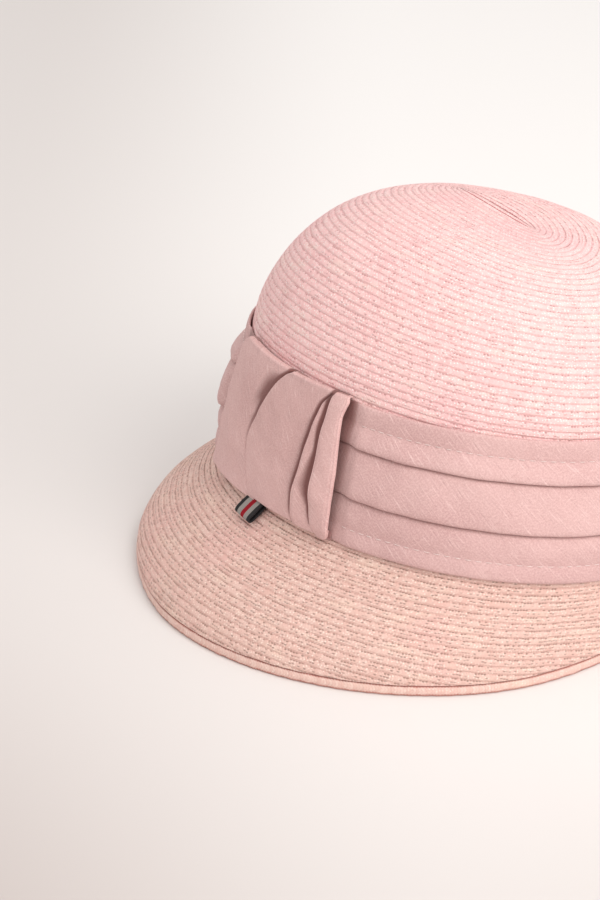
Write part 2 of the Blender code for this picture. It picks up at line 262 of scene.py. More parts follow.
# Shader maths: the output of a node, which is added, multiplied and stepped as a number is
class Signal:
    def __init__(self, tree, socket):
        self.tree, self.socket = tree, socket

    def math(self, operation, *others):
        return addNode(self.tree, "Math", {"operation": operation}, dict(enumerate((self, *others))))

    def __add__(self, other):
        return self.math("ADD", other)

    def __sub__(self, other):
        return self.math("SUBTRACT", other)

    def __mul__(self, other):
        return self.math("MULTIPLY", other)

    def awayFrom(self, middle):
        return (self - middle).math("ABSOLUTE")

    def step(self, low, high, start=0.0, end=1.0):
        # a smooth step from start to end
        values = {"Value": self, "From Min": low, "From Max": high, "To Min": start, "To Max": end}
        return addNode(self.tree, "MapRange", {"interpolation_type": "SMOOTHSTEP"}, values, "Result")

    def besides(self, output):
        # another output of the same node
        return Signal(self.tree, self.socket.node.outputs[output])

    def into(self, socket):
        self.tree.links.new(self.socket, socket)


def addNode(tree, kind, settings, values, output=0):
    node = tree.nodes.new("ShaderNode" + kind)
    for name, setting in settings.items():
        setattr(node, name, setting)
    for key, value in values.items():
        socket = node.inputs[key]
        if isinstance(value, Signal):
            value.into(socket)
        else:
            socket.default_value = (*value, 1) if socket.type == "RGBA" else value
    return Signal(tree, node.outputs[output])


def blend(share, first, second):
    return addNode(share.tree, "Mix", {"data_type": "RGBA"}, {0: share, 6: first, 7: second}, 2)


def place(x, y, z=0.0):
    return addNode(x.tree, "CombineXYZ", {}, {0: x, 1: y, 2: z})


def grain(where, scale=1.0, rough=0.5):
    return addNode(where.tree, "TexNoise", {},
                   {"Vector": where, "Scale": scale, "Detail": 2.0, "Roughness": rough}, "Fac")


def cells(where):
    # how far the nearest cell's middle is, and a random number for that cell
    far = addNode(where.tree, "TexVoronoi", {"voronoi_dimensions": "2D"},
                  {"Vector": where, "Scale": 1.0, "Randomness": 1.0}, "Distance")
    return far, addNode(where.tree, "SeparateColor", {}, {0: far.besides("Color")})


def chance(x, y):
    # a random number from 0 to 1 for each pair of numbers
    return addNode(x.tree, "TexWhiteNoise", {"noise_dimensions": "2D"}, {"Vector": place(x, y)}, "Value")


def alongAndAcross(tree):
    where = addNode(tree, "UVMap", {"uv_map": "alongAndAcross"}, {})
    u = addNode(tree, "SeparateXYZ", {}, {0: where})
    return u, u.besides(1)


def marked(tree, name):
    return addNode(tree, "Attribute", {"attribute_name": name}, {}, "Fac")


def onObject(tree):
    return addNode(tree, "TexCoord", {}, {}, "Object")


def newMaterial(name, look):
    material = bpy.data.materials.new(name)
    material.use_nodes = True
    shader = material.node_tree.nodes["Principled BSDF"]
    shader.inputs["Roughness"].default_value = look["roughness"]
    shader.inputs["Specular IOR Level"].default_value = look["specular"]
    return material, material.node_tree, shader


def finishWith(shader, colour, height, relief):
    # colour and fine relief, in metres, of a shader
    colour.into(shader.inputs["Base Color"])
    bump = addNode(height.tree, "Bump", {}, {"Distance": relief, "Strength": 1.0, "Height": height})
    bump.into(shader.inputs["Normal"])


def strawFinish(name, look):
    # plaited straw braid: u counts row widths along the row, v counts the rows
    material, tree, shader = newMaterial(name, look)
    u, v = alongAndAcross(tree)
    row, inRow = v.math("FLOOR"), v.math("FRACT")
    along = row * 0.37 + u * look["strands"]
    toothNumber = along.math("FLOOR")
    tooth = along.math("FRACT").awayFrom(0.5) * 2.0
    zigzag = (tooth - 0.5) * look["zigzag"]
    wander = (grain(place(u, v), 0.9) - 0.5) * look["wander"]
    fromMiddle = inRow.awayFrom(0.5)
    nearEdge = fromMiddle + (zigzag + wander)
    # straws cross in a herringbone, each with its own tone
    slant = fromMiddle * look["slant"] + along
    tone = chance(slant.math("FLOOR"), row)
    crease = slant.math("FRACT").awayFrom(0.5).step(0.34, 0.5)
    fibre = grain(place(u * 2.2, v * 7.0))
    # the groove between rows is painted with soft shade all along; small notches of darker painted shade lie
    # in it, and a few in the row's middle
    groove = nearEdge.step(0.5 - look["grooveWidth"], 0.5)
    patch = grain(place(u * look["dashes"], v * 0.8))
    patch = patch.step(look["dashFrom"], look["dashFrom"] + 0.16, look["leastDashes"], 1.0)
    middleOfTooth = tooth.step(0.45, 1.0, 1.0, 0.0)
    jitter = 0.14

    def notches(middle, half, seed, rare):
        shift = chance(toothNumber, row + (seed + 0.5)) * jitter
        across = (inRow + shift).awayFrom(middle + jitter / 2)
        luck = chance(toothNumber, row + seed).step(rare, rare + 0.30)
        return across.step(half * 0.35, half, 1.0, 0.0) * middleOfTooth * luck * patch

    notch = notches(look["notchAt"], look["notchHalf"], 40.0, look["notchRare"])
    hole = notches(look["holeAt"], look["holeHalf"], 80.0, look["holeRare"])
    speckFar, speckPick = cells(place(u * 2.4, v * 3.1))
    rowTone = chance(row, 3.0).step(0.0, 1.0, 0.0, look["rowSpread"])
    colour = blend(tone * look["toneSpread"] + rowTone, look["base"], look["deep"])
    # rosy, creamy and speck are the straw's own tones; crease, groove, slit, notch and hole are painted shade
    # in the braid's hollows
    for part, tint, share in (
        ("rosy", "rosy", grain(onObject(tree), 26.0).step(0.48, 0.70)),
        ("creamy", "creamy", grain(place(u * 0.16, v * 0.5)).step(0.52, 0.74)),
        ("speck", "speck", speckFar.step(0.14, 0.36, 1.0, 0.0) * speckPick.step(0.40, 0.7)),
        ("crease", "paintedGrooveShade", crease),
        ("groove", "paintedGrooveShade", groove),
        ("slit", "slit", marked(tree, "slit") * nearEdge.step(0.34, 0.46)),
        ("notch", "notch", notch),
        ("hole", "hole", hole),
    ):
        colour = blend(share * look[part + "Share"], colour, look[tint])
    height = fibre * 0.5 + tone * 0.3 + crease * -0.35 + groove * -0.6 + notch * -0.8 + hole * -0.9
    finishWith(shader, colour, height, look["relief"])
    gloss = tone.step(0.0, 1.0, look["roughness"] - 0.10, look["roughness"] + 0.12)
    gloss.into(shader.inputs["Roughness"])
    return material


def linenFinish(name, look):
    # slubby linen cut on the bias: u and v are millimetres along and up the cloth
    material, tree, shader = newMaterial(name, look)
    u, v = alongAndAcross(tree)
    bias = 0.7071
    warp, weft = (u + v) * bias, (u - v) * bias
    turn = math.tau / look["threadPitch"]
    weave = (warp * turn).math("SINE") * (weft * turn).math("SINE")
    slubOne = grain(place(warp * 0.13, weft * 2.3), rough=0.6)
    slubTwo = grain(place(weft * 0.11, warp * 2.1, 4.0), rough=0.6)
    lightThread = slubTwo.step(0.56, 0.72).math("MAXIMUM", slubOne.step(0.60, 0.78, 0.0, 0.7))
    darkThread = slubTwo.step(0.44, 0.28).math("MAXIMUM", slubOne.step(0.42, 0.26, 0.0, 0.8))
    nap = grain(place(u * 1.5, v * 1.5), rough=0.7).step(0.40, 0.64)
    colour = blend(grain(onObject(tree), 34.0).step(0.35, 0.68), look["base"], look["shade"])
    colour = blend(darkThread * look["darkShare"], colour, look["darkThread"])
    colour = blend(lightThread * look["lightShare"], colour, look["lightThread"])
    colour = blend(weave.step(-1.0, 1.0, look["weaveShare"], 0.0), colour, look["darkThread"])
    colour = blend(nap * look["napShare"], colour, look["lightThread"])
    # painted shade in the folds and beside the wrap's edges
    colour = blend(marked(tree, "paintedShade") * look["paintedShadeShare"], colour, look["paintedShade"])
    finishWith(shader, colour, weave * 0.22 + slubOne * 0.9 + slubTwo * 0.7, look["relief"])
    shader.inputs["Sheen Weight"].default_value = look["sheen"]
    shader.inputs["Sheen Roughness"].default_value = 0.5
    return material


def braidSide(name, pointAt, rows, braid, material, middle, inside=False):
    # one face of a spiral of braid rows: pointAt(turn, rows from the first edge) gives the bare surface
    offsets, lifts = np.array(braid["insideProfile" if inside else "profile"]).T
    steps = braid["insideSteps" if inside else "steps"]
    depth, inward = (-braid["depth"], braid["wall"]) if inside else (braid["depth"], 0.0)
    rowNumbers = np.arange(-1, rows + 1)
    v = (rowNumbers[:, None] + offsets[None, :]).reshape(-1)
    phase = np.linspace(0, 1, steps + 1)
    rowAt, phaseAt = np.meshgrid(v, phase, indexing="ij")
    turn = braid["startTurn"] + math.tau * phaseAt
    points, inUse = pointAt(turn, rowAt + phaseAt)
    normal = normalsOf(points, middle)
    uneven = roughness(points, 420.0) * 0.6 + roughness(points, 150.0, 7.0) * 0.7
    inGroove = (np.tile(offsets, len(rowNumbers)) < 0.01)[:, None] * 1.0
    amount = np.tile(lifts, len(rowNumbers))[:, None] * (1 + inGroove * braid["uneven"] * uneven) * depth
    amount = amount + braid["wave"] * roughness(points, 55.0, 3.0)
    points = points + normal * (amount[..., None] - inward)
    around = lengthsAlong(points, axis=1)
    faces = gridFaces(len(v), steps + 1)
    faces = faces[inUse.reshape(-1)[faces].any(axis=1)]
    line, column = faces // (steps + 1), faces % (steps + 1)
    # all corners of a row measure along its middle line, so that the straws run on across it
    whole = around[:, -1][(line[:, :1] // len(offsets)) * len(offsets) + len(offsets) // 2]
    places = np.stack((phase[column] * whole / braid["rowWidth"], v[line]), axis=-1)
    # the rows beside the tip's slit are marked for painted shade
    sideOfSeam = np.clip((0.93 - np.abs(np.sin(turn))) / 0.06, 0, 1)
    marks = {"slit": (rowAt <= braid["slitRows"]) * sideOfSeam}
    return newPiece(name, points, faces, places, material, marks=marks, outwardFrom=headCentre)


def braidWall(name, pointAt, rows, braid, material, middle):
    # the outside and the flatter inside of a braided wall, as one object
    outside = braidSide(name + "Outside", pointAt, rows, braid, material, middle)
    inside = braidSide(name + "Inside", pointAt, rows, braid, material, middle, inside=True)
    inside.data.flip_normals()
    work = bmesh.new()
    for side in (outside, inside):
        work.from_mesh(side.data)
        bpy.data.objects.remove(side, do_unlink=True)
    joined = bpy.data.meshes.new(name)
    work.to_mesh(joined)
    work.free()
    joined.materials.append(material)
    return inScene(name, joined)


# Crown: one spiral of narrow braid from the slit at the tip down to its foot, under the band
crownBraid = {
    "rowWidth": 0.00292,
    "depth": 0.00024,
    "steps": 256,
    "insideSteps": 128,
    "wall": 0.0018,
    "startTurn": math.radians(-88),
    # share of the row from its upper edge, and share of the depth
    "profile": [(0.0, -0.42), (0.12, 0.02), (0.34, 0.34), (0.66, 0.38), (0.88, 0.14)],
    "insideProfile": [(0.0, -0.9), (0.30, 0.2), (0.70, 0.2)],
    "uneven": 0.9,
    "wave": 0.00035,
    "slitRows": 1.02,
}
pinkStrawLook = {
    "base": (0.95, 0.650, 0.630),
    "deep": (0.87, 0.510, 0.500),
    "rosy": (0.90, 0.500, 0.515),
    "creamy": (0.93, 0.710, 0.640),
    "speck": (0.98, 0.900, 0.870),
    "paintedGrooveShade": (0.80, 0.370, 0.375),
    "slit": (0.52, 0.110, 0.110),
    "notch": (0.46, 0.175, 0.170),
    "hole": (0.46, 0.200, 0.195),
    "roughness": 0.62,
    "specular": 0.30,
    "strands": 2.3,
    "slant": 1.9,
    "zigzag": 0.10,
    "wander": 0.16,
    "dashes": 0.70,
    "dashFrom": 0.42,
    "leastDashes": 0.25,
    "grooveWidth": 0.20,
    # where the notches and holes of painted shade lie across the row, their half width and how rare they are
    "notchAt": 0.09,
    "notchHalf": 0.14,
    "notchRare": 0.26,
    "holeAt": 0.55,
    "holeHalf": 0.11,
    "holeRare": 0.50,
    "toneSpread": 0.55,
    "rowSpread": 0.18,
    "rosyShare": 0.42,
    "creamyShare": 0.45,
    "speckShare": 0.75,
    "creaseShare": 0.17,
    "grooveShare": 0.30,
    "slitShare": 0.95,
    "notchShare": 0.62,
    "holeShare": 0.45,
    "relief": 0.00030,
}


def buildCrown():
    rows = int(round((shortSide[2][-1] - shortSide[3]) / crownBraid["rowWidth"]))

    def pointAt(turn, count):
        share = (count - 0.5) / rows
        return crownPoint(turn, np.clip(share, 0, 1)), (share > 0) & (share < 1)

    finish = strawFinish("pinkStraw", pinkStrawLook)
    return braidWall("crown_braid", pointAt, rows, crownBraid, finish, headCentre + upAxis * 0.03)


# Brim: paler braid whose rows run on from under the band, parallel to it, and are cut off by the rim row
brimBraid = dict(
    crownBraid,
    rowWidth=0.00295,
    steps=320,
    insideSteps=160,
    wall=0.0017,
    startTurn=math.radians(-100),
    profile=[(0.0, -0.44), (0.12, 0.06), (0.34, 0.36), (0.66, 0.34), (0.88, 0.06)],
    uneven=0.70,
    wave=0.00030,
    slitRows=-9,  # none
    behindRimRow=0.0010,
)
paleStrawLook = dict(
    pinkStrawLook,
    base=(0.78, 0.550, 0.480),
    deep=(0.73, 0.450, 0.385),
    rosy=(0.78, 0.450, 0.415),
    creamy=(0.84, 0.630, 0.518),
    speck=(0.95, 0.780, 0.690),
    paintedGrooveShade=(0.62, 0.310, 0.265),
    notch=(0.30, 0.170, 0.130),
    hole=(0.27, 0.150, 0.115),
    zigzag=0.13,
    dashFrom=0.34,
    leastDashes=0.35,
    notchRare=0.22,
    holeRare=0.42,
    speckShare=0.80,
    creaseShare=0.22,
    grooveShare=0.36,
    notchShare=0.75,
    holeShare=0.60,
)


def buildBrim():
    turns = np.linspace(0, math.tau, 721)
    shares = np.linspace(1, 0, 60)
    lines = bellPoint(turns[:, None], shares[None, :])
    collar = offWall(turns, hatShape["collarHeight"], 0.0)[:, None, :]
    foot = lines[:, :1, :] - np.array((0, 0, brimBraid["behindRimRow"]))
    lines = np.concatenate((foot, lines, collar), axis=1)[:, ::-1]
    lengths = lengthsAlong(lines, axis=1)
    width = brimBraid["rowWidth"]

    def pointAt(turn, count):
        turn = np.mod(turn, math.tau)
        distance = count * width
        total = np.interp(turn, turns, lengths[:, -1])
        inUse = (distance > 0) & (distance < total)
        distance = np.clip(distance, 0, total).reshape(-1)
        number = turn.reshape(-1) / math.tau * (len(turns) - 1)
        near = np.clip(number.astype(int), 0, len(turns) - 2)
        part = number - near
        result = np.zeros((len(number), 3))
        for index in np.unique(near):
            chosen = near == index
            for side, weight in ((index, 1 - part[chosen]), (index + 1, part[chosen])):
                for axis in range(3):
                    reached = np.interp(distance[chosen], lengths[side], lines[side, :, axis])
                    result[chosen, axis] += weight * reached
        return result.reshape(turn.shape + (3,)), inUse

    rows = int(lengths[:, -1].max() / width) + 1
    finish = strawFinish("paleStraw", paleStrawLook)
    # the brim is so flat on one side that only a low middle is under all of it
    return braidWall("brim_braid", pointAt, rows, brimBraid, finish, headCentre - upAxis * 0.03)


# Rim row: the thicker last row, which the hat stands on, with a groove over it in rosy painted shade
rimRow = {
    "steps": 560,
    # share of the row's width inwards and of its height, once round
    "section": [(0.30, 0.00), (0.08, 0.12), (0.01, 0.32), (0.0, 0.50), (0.03, 0.70), (0.10, 0.86),
                (0.26, 0.97), (0.50, 1.00), (0.76, 0.97), (0.93, 0.82), (1.00, 0.50), (0.93, 0.16),
                (0.70, 0.00), (0.50, 0.02)],
    "outerPoint": 3,
    "plait": 0.00008,
    "plaitPitch": 0.0016,
    "uneven": 0.00018,
    "drawnIn": 0.00006,
    "strawWidth": 0.0030,
    # point of the section, and the share of a straw row that it shows
    "faceAt": [(0, -0.30), (1, 0.02), (6, 0.99), (7, 1.15), (14, 2.0)],
}
rimStrawLook = dict(
    paleStrawLook,
    base=(0.80, 0.588, 0.515),
    paintedGrooveShade=(0.55, 0.160, 0.130),
    grooveShare=0.85,
    speckShare=0.45,
    notchRare=0.90,
    holeRare=0.90,
    strands=2.6,
)


def buildRimRow():
    turn = np.linspace(0, math.tau, rimRow["steps"], endpoint=False)
    rings = [rimPoint(turn, inset * hatShape["rimRowWidth"], rise * hatShape["rimRowHeight"])
             for inset, rise in rimRow["section"]]
    outer = rings[rimRow["outerPoint"]]
    around = lengthsAlong(np.concatenate((outer, outer[:1])))
    points = np.stack(rings + [rings[0]])
    wobble = np.sin(around[:-1] / rimRow["plaitPitch"] * math.tau)[None, :] * rimRow["plait"]
    wobble = wobble + rimRow["uneven"] * roughness(points, 260.0)
    away = unit(points - points[:-1].mean(axis=0)[None])
    points = points + away * (wobble - rimRow["drawnIn"])[..., None]
    points[..., 2] = np.maximum(points[..., 2], 0.0)
    points[-1] = points[0]
    points = np.concatenate((points, points[:, :1]), axis=1)
    count = points.shape[0]
    u = around[None, :] / rimRow["strawWidth"] + np.zeros((count, 1))
    v = np.interp(np.arange(count), *zip(*rimRow["faceAt"]))[:, None] + 0 * u
    return newPiece("rim_row", points, gridFaces(count, points.shape[1]), np.stack((u, v), axis=-1),
                    strawFinish("rimStraw", rimStrawLook))


# Linen band: three tiers, each a strip folded under along its lower edge and lying over the next
bandTiers = {
    "height": 0.0534,
    "fullness": 0.0048,
    "pressed": 0.45,
    "extra": 1.20,
    "extraAt": math.radians(-38),
    "wrapFront": math.radians(-23.4),
    "wrapBack": math.radians(27.8),
    "mmPerRadian": 91,
    "steps": 380,
    "cloth": 0.0004,
    "foldWander": 0.0007,
    # uneven pull: noise scale, seed and size in metres
    "pull": [(60.0, 11.0, 0.00055), (150.0, 5.0, 0.00022)],
    # ripples: how many round the band, height in metres for one radian, phase and size in metres
    "ripples": [(23, 0.0042, 0.0, 0.00013), (41, -0.0060, 1.3, 0.00009)],
    "tiers": [
        # height in mm and share of the fullness, down the outside and back up behind the fold
        {"name": "band_upper_tier", "foldOver": 99.0, "section": [
            (47.0, 0.20), (51.0, 0.20), (53.3, 0.24), (53.75, 0.30), (53.5, 0.38), (52.6, 0.43), (50.8, 0.45),
            (48.6, 0.44), (47.2, 0.42), (46.5, 0.40), (45.8, 0.46), (44.6, 0.60), (43.0, 0.78), (41.4, 0.92),
            (39.9, 0.99), (38.9, 0.98), (38.3, 0.90), (38.2, 0.76), (38.6, 0.60), (40.4, 0.44),
            (43.6, 0.36)]},
        {"name": "band_middle_tier", "foldOver": 38.3, "section": [
            (42.6, 0.22), (40.2, 0.25), (38.2, 0.48), (36.4, 0.70), (34.2, 0.84), (31.6, 0.94), (28.6, 1.01),
            (25.4, 1.05), (22.6, 1.07), (20.8, 1.05), (19.6, 0.97), (19.1, 0.84), (19.2, 0.68), (19.9, 0.54),
            (22.0, 0.42), (24.4, 0.34)]},
        {"name": "band_lower_tier", "foldOver": 19.1, "section": [
            (23.6, 0.22), (21.0, 0.25), (19.0, 0.46), (17.2, 0.62), (15.2, 0.70), (12.8, 0.73), (10.4, 0.68),
            (8.4, 0.57), (7.2, 0.50), (6.2, 0.54), (4.6, 0.58), (2.6, 0.57), (1.0, 0.52), (0.35, 0.42),
            (0.5, 0.32), (2.0, 0.26), (4.6, 0.22)]},
    ],
}
bandLinenLook = {
    "base": (0.662, 0.420, 0.402),
    "shade": (0.595, 0.360, 0.347),
    "lightThread": (0.90, 0.680, 0.650),
    "darkThread": (0.46, 0.260, 0.250),
    "threadPitch": 0.62,
    "lightShare": 0.55,
    "darkShare": 0.45,
    "weaveShare": 0.18,
    "napShare": 0.30,
    # painted shade under folds and beside the wrap's edges, and how much of it
    "paintedShade": (0.19, 0.070, 0.062),
    "paintedShadeShare": 0.92,
    "roughness": 0.85,
    "specular": 0.25,
    "sheen": 0.12,
    "relief": 0.00022,
}


def outsideWrap(turn):
    # the turn from -pi to pi, and how far it lies past the wrap's edges
    signed = np.mod(turn + math.pi, math.tau) - math.pi
    return signed, np.maximum(bandTiers["wrapFront"] - signed, signed - bandTiers["wrapBack"])


def bandStandOff(turn, height, share):
    # the same rule as the solids': pressed under the wrap, fuller low at the front left
    signed, beyond = outsideWrap(turn)
    free = np.clip((beyond - math.radians(1.2)) / math.radians(2.6), 0, 1)
    rise = height / bandTiers["height"]
    extra = bandTiers["extra"] * (1 - rise) * np.maximum(0, np.cos(signed - bandTiers["extraAt"])) ** 4
    pressed = bandTiers["pressed"]
    return bandTiers["fullness"] * share * (pressed + (1 + extra - pressed) * free), free


def bandSurface(turn, height, share):
    # where the cloth lies, with the uneven pull of real linen
    out, free = bandStandOff(turn, height, share)
    bare = offWall(turn, height, 0.0)
    uneven = sum(size * roughness(bare, scale, seed) for scale, seed, size in bandTiers["pull"])
    for count, radian, phase, size in bandTiers["ripples"]:
        uneven = uneven + size * np.sin(turn * count + height / radian + phase)
    weight = np.clip((share - 0.30) / 0.5, 0, 1) * (0.2 + 0.8 * free)
    wander = roughness(offWall(turn, 0.02, 0.0), 38.0, 2.0) * bandTiers["foldWander"]
    inner = np.clip(1 - np.abs(height / bandTiers["height"] - 0.5) * 2.2, 0, 1)
    return offWall(turn, height + wander * inner, np.maximum(out + uneven * weight, 0.0006))


def buildBand():
    turn = np.linspace(0, math.tau, bandTiers["steps"] + 1)
    finish = linenFinish("bandLinen", bandLinenLook)
    pieces = []
    for tier in bandTiers["tiers"]:
        heights, shares = np.array(tier["section"]).T
        steps = np.arange(len(heights))
        fine = np.linspace(0, len(heights) - 1, 2 * len(heights) - 1)
        heights, shares = np.interp(fine, steps, heights * 0.001), np.interp(fine, steps, shares)
        points = bandSurface(turn[None, :], heights[:, None], shares[:, None])
        points[:, -1] = points[:, 0]
        girth = lengthsAlong(points[8]) * 1000  # round the outside, near the upper edge
        down = lengthsAlong(np.stack((heights, shares * bandTiers["fullness"]), axis=-1)) * 1000
        # painted shade: the cloth is darkened where it goes in under a fold, and beside the edges of the wrap
        under = np.clip((heights * 1000 - tier["foldOver"] + 1.5) / 0.9, 0, 1)[:, None] ** 1.6
        signed, beyond = outsideWrap(turn)
        upTheBand = np.clip(heights / 0.05, 0, 1)[:, None]
        strength = (0.35 + 0.65 * upTheBand) * np.where(signed > 0, 1.0, 0.6)
        besideWrapShade = np.clip(1 - (beyond * bandTiers["mmPerRadian"] - 0.5) / (0.7 + 1.9 * upTheBand), 0, 1) ** 1.5
        paintedShade = np.clip(np.maximum(under, besideWrapShade * strength), 0, 1)
        piece = newPiece(tier["name"], points, gridFaces(len(heights), len(turn)),
                         np.stack(np.meshgrid(girth, -down), axis=-1), finish, marks={"paintedShade": paintedShade})
        thicken(piece, bandTiers["cloth"])
        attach(piece, "root")
        pieces.append(piece)
    return pieces


# Pleated wrap: knife pleats that lie over the left side of the band; lengths in mm
sideWrap = {
    "bottom": 0.3,
    "top": 55.1,
    "base": 2.46,
    "fullness": 4.4,
    "rows": 44,
    "cloth": 0.00045,
    "swell": [(0.0, 0.0), (0.07, 0.55), (0.26, 1.0), (0.50, 0.98), (0.76, 0.92), (0.93, 0.66), (1.0, 0.40)],
    # each panel's left line as height and turn in degrees; how far it stands off at each side; how many
    # heights of the next step are in painted shade; how much of its step over its neighbour is left at each
    # height
    "panels": [
        {"name": "front_panel", "right": "main_panel", "leftOff": 1.10, "rightOff": 0.60, "shade": 1.65,
         "hem": 1.0, "hemRise": 0.0, "corner": 3.0, "roll": 1.7,
         "left": [(0, -23.0), (12, -21.6), (27, -19.2), (42, -17.6), (55.5, -17.0)],
         "step": [(0, 1.0), (55, 1.0)]},
        {"name": "main_panel", "right": "inner_pleat", "leftOff": 1.06, "rightOff": 0.34, "shade": 0.96,
         "hem": 0.62, "hemRise": 1.0, "corner": 1.8, "roll": 1.5,
         "left": [(0, 0.3), (8, -0.9), (16, -2.6), (22, -3.2), (28, -1.8), (34, 0.2), (43, 3.2), (50, 5.5),
                  (55.7, 8.3)],
         "step": [(0, 0.25), (10, 0.28), (20, 0.45), (30, 0.80), (38, 1.0), (47, 1.30), (52, 1.15),
                  (55, 1.0)]},
        {"name": "inner_pleat", "right": "outer_pleat", "leftOff": 0.94, "rightOff": 0.38, "shade": 0.82,
         "hem": 0.30, "hemRise": 0.6, "corner": 0.9, "roll": 1.4,
         "left": [(0, 17.3), (6, 16.5), (12, 16.5), (32, 18.2), (50, 20.6), (55.5, 23.0)],
         "step": [(0, 1.0), (8, 1.05), (40, 1.05), (55, 1.0)]},
        {"name": "outer_pleat", "right": None, "leftOff": 1.10, "rightOff": 1.00,
         "hem": 0.28, "hemRise": 0.0, "corner": 1.1, "roll": 1.4,
         "left": [(0, 24.2), (4, 22.9), (8, 22.4), (20, 22.2), (40, 22.4), (55.5, 22.9)],
         "step": [(0, 0.8), (10, 1.0), (18, 1.45), (24, 1.25), (32, 1.0), (55, 1.0)]},
    ],
    "neighbourOff": 0.56,
    "backEdge": [(0, 27.3), (14, 27.7), (27, 27.8), (48, 26.6), (55.5, 27.7)],
    # past a panel's left or right line, and how far out from its face
    "fold": [(5.0, -1.25), (2.6, -1.35), (1.2, -1.30), (0.45, -1.10), (0.08, -0.75), (0.0, -0.42),
             (0.16, -0.16), (0.55, -0.03), (1.1, 0.0)],
    "backHem": [(-0.9, 0.0), (-0.40, -0.05), (-0.12, -0.28), (0.0, -0.62), (-0.08, -0.95), (-0.5, -1.25),
                (-1.6, -1.35)],
    "underNext": [(-3.6, 0.0), (-3.0, 0.0), (-2.5, 0.0), (-2.0, 0.0), (-1.5, -0.04), (-1.0, -0.20),
                  (-0.5, -0.80), (0.0, -1.70), (1.0, -2.3), (2.6, -2.5), (4.4, -2.5)],
    # rise past the edge and depth behind the face: the hem turned up behind, and the lip turned in on top
    "hemBehind": [(3.4, 1.1), (0.9, 1.05), (-0.05, 0.75), (-0.15, 0.25)],
    "lip": [(0.30, 0.35), (0.42, 0.9), (0.30, 1.9), (0.05, 3.0), (-0.2, 4.2)],
    "creases": [
        {"line": [(0, 12.6), (18, 12.9), (36, 14.8), (55, 18.6)], "depth": 0.35, "width": 0.9},
        {"line": [(0, -18.0), (25, -16.0), (55, -6.7)], "depth": 0.30, "width": 1.0},
    ],
}
wrapLinenLook = dict(bandLinenLook, base=(0.70, 0.435, 0.412), shade=(0.635, 0.382, 0.364))


def onLine(line, at):
    return np.interp(at, *zip(*line))


